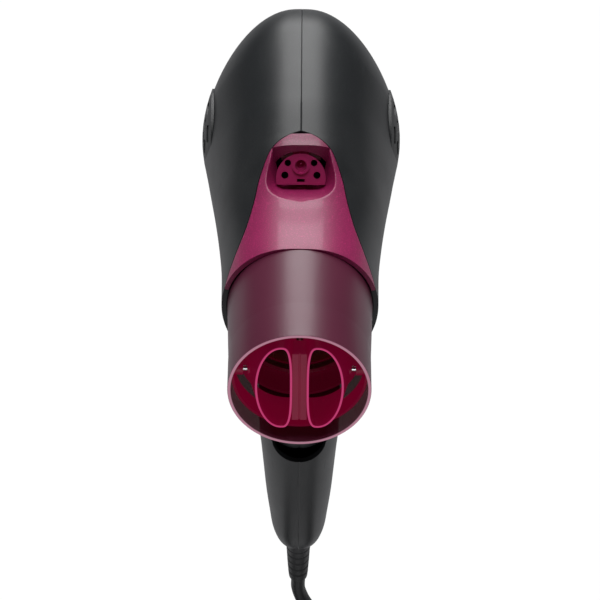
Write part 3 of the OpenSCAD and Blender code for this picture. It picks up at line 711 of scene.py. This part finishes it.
def coil_points():
    """The coil's turns, clockwise from above: top layer, then the middle one in, the lowest out."""
    low, middle, top = LAYERS
    near, centre, far = TURN_R
    enter = Vector(LEAD_ROUTE[-1])
    start_angle = math.degrees(math.atan2(enter.y, enter.x))
    leave = Vector(TAIL_ROUTE[0])
    end_angle = math.degrees(math.atan2(leave.y, leave.x))
    # Each leg: degrees turned, radius and height at its end; the turns change places in set windows
    descent_from = -85.0
    legs = [(start_angle - descent_from, centre, top), (40, far, middle), (280, far, middle),
            (40, centre, middle), (320, centre, middle), (40, near, middle), (280, near, middle),
            (40, near, low), (280, near, low), (40, centre, low), (320, centre, low),
            (40, far, low)]
    turned = sum(leg[0] for leg in legs)
    legs.append(((start_angle - turned - end_angle) % 360, far, low))
    points = []
    angle, radius, height = start_angle, math.hypot(enter.x, enter.y), enter.z
    for number, (sweep, next_radius, next_height) in enumerate(legs):
        steps = max(4, round(sweep / 9))
        for k in range(1, steps + 1):
            u = k / steps
            if number == 1:
                over = smoothstep(u) * math.pi / 2
                r, z = radius + LEAD_D * math.sin(over), height - LEAD_D * (1 - math.cos(over))
            else:
                ease = smoothstep(min(1.0, u * sweep / 60)) if number == 0 else smoothstep(u)
                r = radius + (next_radius - radius) * ease
                z = height + (next_height - height) * ease
            turn = math.radians(angle - sweep * u)
            points.append(Vector((r * math.cos(turn), r * math.sin(turn), z)))
        angle, radius, height = angle - sweep, next_radius, next_height
    return points


def lead_points():
    route = smooth_route(LEAD_ROUTE, 3) + coil_points() + smooth_route(TAIL_ROUTE, 3)[1:]
    return [p * MM for p in route]


# ---- Settings ----

def size_property(name, description, default, low, high):
    return bpy.props.FloatProperty(name=name, description=description, default=default, min=low,
                                   max=high, unit="LENGTH", precision=5)


class DryerSizes(bpy.types.PropertyGroup):
    groove: size_property("Groove", "Depth of the shut lines between moulded pieces",
                          0.00022, 0.0, 0.001)
    rim_round: size_property("Rim rounding", "Radius on the nozzle shell's lip",
                             0.0006, 0.0002, 0.001)
    relief_rib: size_property("Relief rib", "Depth of the ribs on the strain relief",
                              0.0005, 0.0, 0.001)
    tie_width: size_property("Tie width", "Width of the woven tie on the coil",
                             0.0078, 0.005, 0.008)


def colour_property(name, description, default):
    return bpy.props.FloatVectorProperty(name=name, description=description, subtype="COLOR", size=3,
                                         min=0.0, max=1.0, default=default)


class DryerColours(bpy.types.PropertyGroup):
    body: colour_property("Body", "Satin black of the housing", (0.0115, 0.013, 0.0145))
    panel: colour_property("Panel", "Clear-coated magenta of the top panel", (0.26, 0.01, 0.08))
    inner: colour_property("Inner nozzle", "Magenta of the inner nozzle", (0.22, 0.001, 0.035))
    # Painted glow: an emission colour that makes the inner nozzle look lit through its plastic
    inner_painted_glow: colour_property("Inner glow", "Light that passes through the inner nozzle's plastic",
                                (0.085, 0.0002, 0.011))
    # Painted highlight: an emission colour on the inner nozzle's front edges
    inner_painted_edge: colour_property("Inner edge", "Light gathered at the inner nozzle's front edges",
                                (0.42, 0.03, 0.13))
    # Painted highlight: an emission colour on the nozzle shell's front lip
    lip: colour_property("Lip", "Light gathered at the nozzle shell's lip", (0.36, 0.17, 0.23))
    smoke: colour_property("Smoke", "Tint of the clear nozzle shell", (0.12, 0.017, 0.045))


class StudioSettings(bpy.types.PropertyGroup):
    elevation: bpy.props.FloatProperty(
        name="Elevation", description="Height angle of the camera", default=math.radians(39.5),
        unit="ROTATION")
    distance: bpy.props.FloatProperty(
        name="Distance", description="Camera to the point that it looks at", default=1.45,
        unit="LENGTH")
    focal: bpy.props.FloatProperty(
        name="Focal length", description="Focal length in millimetres", default=189.1,
        unit="CAMERA")
    roll: bpy.props.FloatProperty(
        name="Roll", description="Small turn of the camera about its view", default=math.radians(0.4),
        unit="ROTATION")
    key: bpy.props.FloatProperty(
        name="Key light", description="Power of each overhead softbox", default=6.5, unit="POWER")


# ---- Operators ----

class DRYER_OT_camera(bpy.types.Operator):
    """Place the camera in front of the dryer and above it"""
    bl_idname = "dryer.camera"
    bl_label = "Camera"

    def execute(self, context):
        studio = context.scene.dryer_studio
        target = Vector((0, 0.01986, 0.09042))
        back = Vector((0, -math.cos(studio.elevation), math.sin(studio.elevation)))
        data = bpy.data.cameras.new("Camera")
        data.lens = studio.focal
        data.sensor_width = 36
        camera = bpy.data.objects.new("Camera", data)
        context.scene.collection.objects.link(camera)
        camera.rotation_mode = "QUATERNION"
        camera.location = target + back * studio.distance
        turn = (-back).to_track_quat("-Z", "Y")
        camera.rotation_quaternion = turn @ Matrix.Rotation(studio.roll, 3, "Z").to_quaternion()
        context.scene.camera = camera
        return {"FINISHED"}


class DRYER_OT_materials(bpy.types.Operator):
    """Make the materials and give each inner piece of the frame its own"""
    bl_idname = "dryer.materials"
    bl_label = "Materials"

    def execute(self, context):
        make_materials(context.scene.dryer_colours)
        for name in ("ion_bezel", "pivot_carrier", "front_collar", "intake_cover_left",
                     "intake_cover_right"):
            bevel = NODES[name].modifiers.new("Softened edges", "BEVEL")
            bevel.width = 0.00018
            bevel.segments = 2
            bevel.limit_method = "ANGLE"
        for look, names in CAD_LOOKS.items():
            for name in names:
                slots = NODES[name].data.materials
                if not len(slots):
                    slots.append(MATERIALS[look])
                for i in range(len(slots)):
                    slots[i] = MATERIALS[look]
        return {"FINISHED"}


class DRYER_OT_plug(bpy.types.Operator):
    """Loft the moulded plug, with its grip ridges"""
    bl_idname = "dryer.plug"
    bl_label = "Plug"

    def execute(self, context):
        # Sections from the face to the back: place, half width, half height, squareness
        sections = [(-62, 16.4, 11, 3.2), (-61.7, 17.2, 11.8, 3.2), (-60.6, 18.1, 12.6, 3.1),
                    (-58, 18.4, 12.9, 3.0), (-46, 18.2, 12.8, 2.9), (-42, 15.6, 11.2, 2.7),
                    (-37, 11, 8.8, 2.4), (-32, 7, 6.4, 2.1), (-28, 6, 5.9, 2), (-20.5, 5, 5, 2),
                    (-20, 4.6, 4.6, 2)]
        lines = [[(s[0], s[k]) for s in sections] for k in (1, 2, 3)]
        ridge_from, ridge_to, ridges, ridge_depth = -56, -46, 5, 0.45
        rings = []
        for y in spread(PLUG_FACE_Y, PLUG_BACK_Y, 84):
            half_x, half_z, power = (curve(line, y) for line in lines)
            dip = 0.0
            if ridge_from < y < ridge_to:
                phase = (y - ridge_from) / (ridge_to - ridge_from) * ridges
                dip = ridge_depth * (0.5 - 0.5 * math.cos(2 * math.pi * phase))
            ring = []
            for j in range(64):
                a = 2 * math.pi * j / 64
                side = abs(math.cos(a)) ** 2
                ring.append(Vector((PLUG_X + (half_x - dip * side) * arm(math.cos(a), power), y,
                                    PLUG_Z + half_z * arm(math.sin(a), power))) * MM)
            rings.append(ring)
        points, faces = solid_mesh(rings, True)
        make_piece("plug", points, faces, MATERIALS["rubber"], "handle",
                   ["plug_body"], 50)
        return {"FINISHED"}


class DRYER_OT_tie(bpy.types.Operator):
    """Wrap the woven tie round the coil"""
    bl_idname = "dryer.tie"
    bl_label = "Tie"

    def execute(self, context):
        width = context.scene.dryer_sizes.tie_width / MM
        near, far = TURN_R[0] - LEAD_D / 2, TURN_R[-1] + LEAD_D / 2
        low, high = FLOOR_Z, FLOOR_Z + 3 * LEAD_D
        gap, thick = 0.25, 0.7
        turn = Matrix.Rotation(math.radians(200), 3, "Z")

        def loop(out):
            box = [(near - 0.7 - out, low - 0.2 - out), (far + 0.1 + out, low - 0.2 - out),
                   (far + 0.1 + out, high + 0.1 + out), (near - 0.7 - out, high + 0.1 + out)]
            return rounded_outline(box, 3.2, 6)

        rings = []
        for across in (-width / 2, -width / 2 + 0.3, 0, width / 2 - 0.3, width / 2):
            crown = 0.0 if abs(across) > width / 2 - 0.1 else gap
            rings.append((across, crown))
        outer = [[turn @ Vector((r, across, z)) * MM for r, z in loop(thick * 0.6 + crown * 0.6)]
                 for across, crown in rings]
        inner = [[turn @ Vector((r, across, z)) * MM for r, z in loop(0)] for across, _ in rings]
        points, faces = thick_mesh(outer, inner, True)
        make_piece("coil_strap", points, faces, MATERIALS["tie"], "handle", ["coil_tie"])
        return {"FINISHED"}


class DRYER_OT_strain_relief(bpy.types.Operator):
    """Turn the tapered strain relief"""
    bl_idname = "dryer.strain_relief"
    bl_label = "Strain relief"

    def execute(self, context):
        rib = context.scene.dryer_sizes.relief_rib / MM
        taper = [(110.5, 7.1), (116, 7.1), (122, 6.4), (128, 5.85), (143, 5.3), (157, 4.6),
                 (RELIEF_TIP_S, 4.1)]
        rib_from, rib_step = HANDLE_LEN + 9, 6.4
        outline = []
        for s in spread(110.5, RELIEF_TIP_S, 120):
            phase = (s - rib_from) / rib_step
            cut = rib if 0 < phase < 5 and phase % 1 < 0.22 else 0.0
            outline.append((curve(taper, s) - cut, s))
        bore = LEAD_D / 2 + 0.05
        outline += [(bore, RELIEF_TIP_S), (bore, 110.5)]
        points, faces = turned_mesh(outline, lambda x, y, s: on_handle((x, -y, -s)), 64)
        make_piece("cord_relief", points, faces, MATERIALS["rubber"], "handle",
                   ["strain_relief"], 60)
        return {"FINISHED"}


class DRYER_OT_lead(bpy.types.Operator):
    """Lay the mains lead from the relief through its coil to the plug"""
    bl_idname = "dryer.lead"
    bl_label = "Mains lead"

    def execute(self, context):
        route = lead_points()
        data = bpy.data.curves.new("mains_lead", "CURVE")
        data.dimensions = "3D"
        data.bevel_depth = LEAD_D / 2 * MM
        data.bevel_resolution = 5
        data.use_fill_caps = True
        spline = data.splines.new("POLY")
        spline.points.add(len(route) - 1)
        for point, place in zip(spline.points, route):
            point.co = (*place, 1)
        spline.use_smooth = True
        data.materials.append(MATERIALS["rubber"])
        lead = bpy.data.objects.new("mains_lead", data)
        context.scene.collection.objects.link(lead)
        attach(lead, "handle")
        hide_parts("power_cord", "cord_coil", "cord_tail")
        return {"FINISHED"}


class DRYER_OT_housing(bpy.types.Operator):
    """Mould the two halves of the housing and the neck under them"""
    bl_idname = "dryer.housing"
    bl_label = "Housing"

    def execute(self, context):
        groove = context.scene.dryer_sizes.groove / MM
        ahead = spread(FRONT_Y, HUB_Y, 92)
        rear = REAR_END - HUB_Y
        behind = [HUB_Y + rear * math.sin(u * math.pi / 2) for u in spread(0, 1, 44)][1:-1]
        behind.append(REAR_END - 0.004)
        rows = ahead + behind
        seam_share = [0, 0.0025, 0.006, 0.014]
        shares = seam_share + spread(0.03, 0.97, 52) + [1 - s for s in reversed(seam_share)]

        def row(y, t):
            start = panel_angle(y)
            points = []
            for share in shares:
                at_seam = (share == 1 or (share == 0 and y >= PANEL_END - 1.5))
                sink = groove if at_seam and t == 0 else 0.0
                points.append(skin(y, start + (math.pi - start) * share, t + sink))
            return points

        right = wall_mesh(row, rows, WALL, on_barrel)
        left = mirrored(*right)
        for (points, faces), side in ((right, "right"), (left, "left")):
            make_piece("housing_shell_" + side, points, faces, MATERIALS["housing"], "housing",
                       ["housing_" + side], 40)
        self.neck(context)
        return {"FINISHED"}

    def neck(self, context):
        belly = -34.5
        fillet = 4.0
        outline = [(0, belly + 2)]
        for a in spread(0, 90, 8):
            outline.append((NECK_R + fillet - fillet * math.sin(math.radians(a)),
                            belly - 2.2 - fillet + fillet * math.cos(math.radians(a))))
        outline += [(NECK_R, -45), (NECK_R, -AXIS_UP), (0, -AXIS_UP)]
        stem = turned_mesh(outline, lambda x, y, z: on_barrel((x, y + HINGE_BACK, z)), 96)
        # The knuckle turns about the fold pin; its ends are rounded and its middle has the seam
        ball, flat, groove = KNUCKLE_R + 0.2, 10.9, 0.3
        profile = [(2.0, -flat), (math.sqrt(ball ** 2 - flat ** 2), -flat)]
        profile += [(min(KNUCKLE_R, math.sqrt(ball ** 2 - x * x)), x) for x in spread(-10.6, -0.5, 20)]
        profile += [(KNUCKLE_R - groove, -0.35), (KNUCKLE_R - groove, 0.35)]
        profile += [(r, -x) for r, x in reversed(profile[:-2])]
        knuckle = turned_mesh(
            profile, lambda y, z, x: on_barrel((x, y + HINGE_BACK, z - AXIS_UP)), 96)
        points, faces = joined(stem, knuckle)
        make_piece("hinge_neck", points, faces, MATERIALS["housing"], "housing")


class DRYER_OT_panel(bpy.types.Operator):
    """Mould the coloured top panel with its scoop"""
    bl_idname = "dryer.panel"
    bl_label = "Top panel"

    def execute(self, context):
        gap = math.radians(0.45)
        rows = spread(FRONT_Y + 0.1, HOOD_FRONT, 96)
        shares = spread(-1, 1, 110)
        groove = context.scene.dryer_sizes.groove / MM

        def row(y, t):
            reach = panel_angle(y) - gap
            return [panel_skin(y, reach * u, t + (groove if abs(u) == 1 and t == 0 else 0))
                    for u in shares]

        points, faces = wall_mesh(row, rows, PANEL_T, on_barrel)
        make_piece("magenta_panel", points, faces, MATERIALS["panel"], "housing",
                   ["top_panel"], 75)
        return {"FINISHED"}


class DRYER_OT_hood(bpy.types.Operator):
    """Mould the arched hood over the ion outlet"""
    bl_idname = "dryer.hood"
    bl_label = "Ion hood"

    def execute(self, context):
        gap = math.radians(0.9)
        rows = spread(HOOD_FRONT + 0.05, HOOD_BACK, 16)
        shares = spread(-1, 1, 64)

        def under(p):
            return Vector((p.x, p.y, ARCH_Z + math.sqrt(max(0.0, ARCH_R ** 2 - p.x ** 2))))

        outer, inner = [], []
        for y in rows:
            reach = panel_angle(y) - gap
            outer.append([on_barrel(skin(y, reach * u)) for u in shares])
            inner.append([on_barrel(under(skin(y, reach * u, PANEL_T))) for u in shares])
        points, faces = thick_mesh(outer, inner)
        make_piece("outlet_hood", points, faces, MATERIALS["hood"], "housing",
                   ["ion_hood"], 45)
        return {"FINISHED"}


class DRYER_OT_nozzle_shell(bpy.types.Operator):
    """Turn the clear nozzle shell with its rounded lip"""
    bl_idname = "dryer.nozzle_shell"
    bl_label = "Nozzle shell"

    def execute(self, context):
        lip_round = context.scene.dryer_sizes.rim_round / MM
        thick, flare, seat = 1.5, 1.2, 0.4
        straight, bore_straight = 22, 24
        back = FRONT_Y - 0.05
        outline = [(MOUTH_R - thick, MOUTH_Y), (MOUTH_R, MOUTH_Y), (MOUTH_R, MOUTH_Y + straight),
                   (MOUTH_R + flare, back), (MOUTH_R - seat, back),
                   (MOUTH_R - thick, MOUTH_Y + bore_straight)]
        outline = rounded_outline(outline, lip_round, 5)
        points, faces = turned_mesh(outline, lambda x, z, y: on_barrel((x, y, z)), 192)
        make_piece("smoke_shell", points, faces, MATERIALS["smoke"], "housing",
                   ["nozzle_shell"], 60)
        return {"FINISHED"}


class DRYER_OT_inner_nozzle(bpy.types.Operator):
    """Mould the swinging inner nozzle: two D-shaped ducts beside a bar"""
    bl_idname = "dryer.inner_nozzle"
    bl_label = "Inner nozzle"

    def ring(self, y, t):
        u = (LOBE_BACK - y) / LOBE_LEN
        v = u ** 0.6 if u > 0 else 0
        flat_x, top_x = 1.35 + 1.75 * u + t, 5 + 3 * u
        side, high = 26.6 - 7.5 * v - t, 25.9 - 3.2 * u - t
        points = []
        for j in range(96):
            a = 2 * math.pi * j / 96
            c, s = math.cos(a), math.sin(a)
            n = 2 if c >= 0 else 3.2
            reach = (side - top_x) if c >= 0 else (top_x - flat_x)
            points.append(on_barrel((top_x + reach * arm(c, n), y, high * arm(s, n))))
        return points

    def execute(self, context):
        wall = 1.0
        front = LOBE_BACK - LOBE_LEN
        rows = spread(LOBE_BACK, front, 30)
        lip = 0.35

        def inset(y):
            near_edge = max(0.0, 1 - (y - front) / lip)
            return lip * (1 - math.sqrt(max(0.0, 1 - near_edge ** 2)))

        rows = rows[:-1] + [front + 0.5, front + 0.3, front + 0.15, front + 0.04, front]
        outer = [self.ring(y, inset(y)) for y in rows]
        inner = [self.ring(y, wall - inset(y)) for y in rows]
        lobe = thick_mesh(outer, inner, True)
        hubs = []
        hub_bore, hub_r, hub_from, hub_to = 1.45, 2.8, 18.8, 22.6
        for side in (-1, 1):
            outline = rounded_outline([(hub_bore, hub_from), (hub_r, hub_from), (hub_r, hub_to),
                                       (hub_bore, hub_to)], 0.4)
            hubs.append(turned_mesh(
                outline, lambda y, z, x, s=side: on_barrel((s * x, y + PIVOT_Y, z)), 32))
        points, faces = joined(lobe, mirrored(*lobe), self.bar(), *hubs)
        make_piece("inner_nozzle", points, faces, MATERIALS["inner"], "swing",
                   ["swing_nozzle"], 40)
        return {"FINISHED"}

    def bar(self):
        """A round-nosed bar between the ducts, flush with their inner walls."""
        half, nose, root, height = 3.3, -157.8, -149.0, 19.0
        outline = rounded_outline([(-half, root), (half, root), (half, nose), (0.35, nose),
                                   (0.35, nose + 0.5), (-0.35, nose + 0.5), (-0.35, nose),
                                   (-half, nose)], 0.3, 3)
        rows = [(-height, 0.4), (-height + 0.4, 0), (height - 0.4, 0), (height, 0.4)]
        rings = []
        for z, inset in rows:
            rings.append([on_barrel((x * (1 - inset / half), y + (inset if y < root - 4 else 0), z))
                          for x, y in outline])
        return solid_mesh(rings)


class DRYER_OT_handle(bpy.types.Operator):
    """Mould the two halves of the folding handle"""
    bl_idname = "dryer.handle"
    bl_label = "Handle"

    def edge_angle(self):
        """Angle from the front at which the cheek's inner corner stands."""
        share = (CHEEK_X + 0.41) / curve(WIDTH_LINE, 0)
        return math.asin(share ** (HANDLE_POWER / 2))

    def clear_of_neck(self, p):
        """Point of the inner wall, moved out of the neck's way when the handle is folded."""
        room = NECK_R + 0.6
        if p.y > 0:
            return p
        if p.z > 0:
            return Vector((max(p.x, room), p.y, p.z))
        reach = math.hypot(p.x, p.z)
        if reach >= room:
            return p
        return Vector((p.x * room / reach, p.y, p.z * room / reach))

    def execute(self, context):
        groove = context.scene.dryer_sizes.groove / MM
        corner = self.edge_angle()
        step = math.radians(0.15)
        front = [0, 0.012] + spread(0.03, corner - step, 26) + [corner + step * 0.2]
        side = spread(corner + step * 2, math.pi - corner - step * 2, 44)
        angles = front + side + [math.pi - a for a in reversed(front)]
        shares = [1 - (1 - u) ** 1.15 for u in spread(0, 1, 64)]

        def row(share, t):
            points = []
            for a in angles:
                top = handle_top(a)
                s = top + (HANDLE_LEN - top) * share
                seam = groove if a in (0, math.pi) and t == 0 else 0.0
                wall = 0.0 if t == 0 else max(1.3, WALL - max(0.0, s - 95) * 0.045)
                p = grip(s, a, wall + seam)
                points.append(on_handle(self.clear_of_neck(p) if t else p))
            return points

        shell = thick_mesh([row(u, 0) for u in shares], [row(u, 1) for u in shares])
        bore, disc_r, disc_x = 3.1, 13.8, 13.9
        disc = rounded_outline([(bore, CHEEK_X), (disc_r, CHEEK_X), (disc_r, disc_x),
                                (bore, disc_x)], 0.3)
        cheek = turned_mesh(disc, lambda y, z, x: on_handle((x, y, z)), 64)
        right = joined(shell, cheek)
        for (points, faces), name in ((right, "right"), (mirrored(*right), "left")):
            make_piece("handle_shell_" + name, points, faces, MATERIALS["handle"], "handle",
                       ["handle_" + name], 32)
        return {"FINISHED"}


class DRYER_OT_studio(bpy.types.Operator):
    """Light the dryer over a plain pale floor"""
    bl_idname = "dryer.studio"
    bl_label = "Studio"

    def softbox(self, context, name, place, aim, width, height, power):
        data = bpy.data.lights.new(name, "AREA")
        data.shape = "RECTANGLE"
        data.size, data.size_y = width, height
        data.energy = power
        light = bpy.data.objects.new(name, data)
        context.scene.collection.objects.link(light)
        light.location = place
        light.rotation_mode = "QUATERNION"
        light.rotation_quaternion = (Vector(aim) - Vector(place)).to_track_quat("-Z", "Y")

    def execute(self, context):
        key = context.scene.dryer_studio.key
        half = 3.0
        mesh = bpy.data.meshes.new("floor")
        mesh.from_pydata([(-half, -half, STAGE_Z), (half, -half, STAGE_Z),
                          (half, half, STAGE_Z), (-half, half, STAGE_Z)], [], [(0, 1, 2, 3)])
        material, tree, shader, vector = start_material("Pale floor")
        # The floor looks white and throws back only part of that light
        path = add(tree, "ShaderNodeLightPath")
        tone = mix_colour(tree, noise(tree, vector, 6.0, 2.0), (0.42, 0.42, 0.43), (0.48, 0.48, 0.49))
        tree.links.new(mix_colour(tree, path.outputs["Is Camera Ray"], tone, (1, 1, 1)),
                       shader.inputs["Emission Color"])
        shader.inputs["Base Color"].default_value = (0.02, 0.02, 0.02, 1)
        shader.inputs["Emission Strength"].default_value = 1.0
        shader.inputs["Roughness"].default_value = 0.9
        shader.inputs["Specular IOR Level"].default_value = 0.0
        mesh.materials.append(material)
        floor = bpy.data.objects.new("floor", mesh)
        context.scene.collection.objects.link(floor)
        middle = (0, 0.02, 0.09)
        for number, (height, share) in enumerate(((34, 0.8), (62, 1.0), (92, 1.0))):
            a = math.radians(height)
            place = Vector(middle) + Vector((0, math.cos(a), math.sin(a))) * 1.2
            self.softbox(context, f"arch box {number}", place, middle, 0.62, 0.5, key * share)
        for side in (-1, 1):
            self.softbox(context, "side strip", (side * 0.9, 0.3, 0.35), middle, 0.12, 0.9, key * 0.06)
        self.softbox(context, "front fill", (0, -1.2, 0.1), middle, 0.3, 0.3, key * 0.1)
        world = bpy.data.worlds.new("Studio")
        world.use_nodes = True
        tree = world.node_tree
        path = add(tree, "ShaderNodeLightPath")
        tree.links.new(mix_colour(tree, path.outputs["Is Camera Ray"], (0.05, 0.052, 0.055), (1, 1, 1)),
                       tree.nodes["Background"].inputs["Color"])
        context.scene.world = world
        context.scene.view_settings.view_transform = "Standard"
        return {"FINISHED"}


OPERATORS = [DRYER_OT_camera, DRYER_OT_materials, DRYER_OT_plug, DRYER_OT_tie, DRYER_OT_lead,
             DRYER_OT_strain_relief, DRYER_OT_housing, DRYER_OT_panel, DRYER_OT_hood,
             DRYER_OT_nozzle_shell, DRYER_OT_inner_nozzle, DRYER_OT_handle, DRYER_OT_studio]


class DRYER_PT_panel(bpy.types.Panel):
    bl_idname = "DRYER_PT_panel"
    bl_label = "Hair Dryer"
    bl_space_type = "VIEW_3D"
    bl_region_type = "UI"
    bl_category = "Dryer"

    def draw(self, context):
        for operator in OPERATORS:
            self.layout.operator(operator.bl_idname)
        for settings in (context.scene.dryer_sizes, context.scene.dryer_colours,
                         context.scene.dryer_studio):
            for name in settings.__annotations__:
                self.layout.prop(settings, name)


SETTINGS = {"dryer_sizes": DryerSizes, "dryer_colours": DryerColours, "dryer_studio": StudioSettings}
CLASSES = [*SETTINGS.values(), *OPERATORS, DRYER_PT_panel]


def register():
    for cls in CLASSES:
        bpy.utils.register_class(cls)
    for name, cls in SETTINGS.items():
        setattr(bpy.types.Scene, name, bpy.props.PointerProperty(type=cls))


def unregister():
    for name in SETTINGS:
        delattr(bpy.types.Scene, name)
    for cls in reversed(CLASSES):
        bpy.utils.unregister_class(cls)


def main():
    register()
    for operator in OPERATORS:
        group, name = operator.bl_idname.split(".")
        getattr(getattr(bpy.ops, group), name)()


if __name__ == "__main__":
    main()
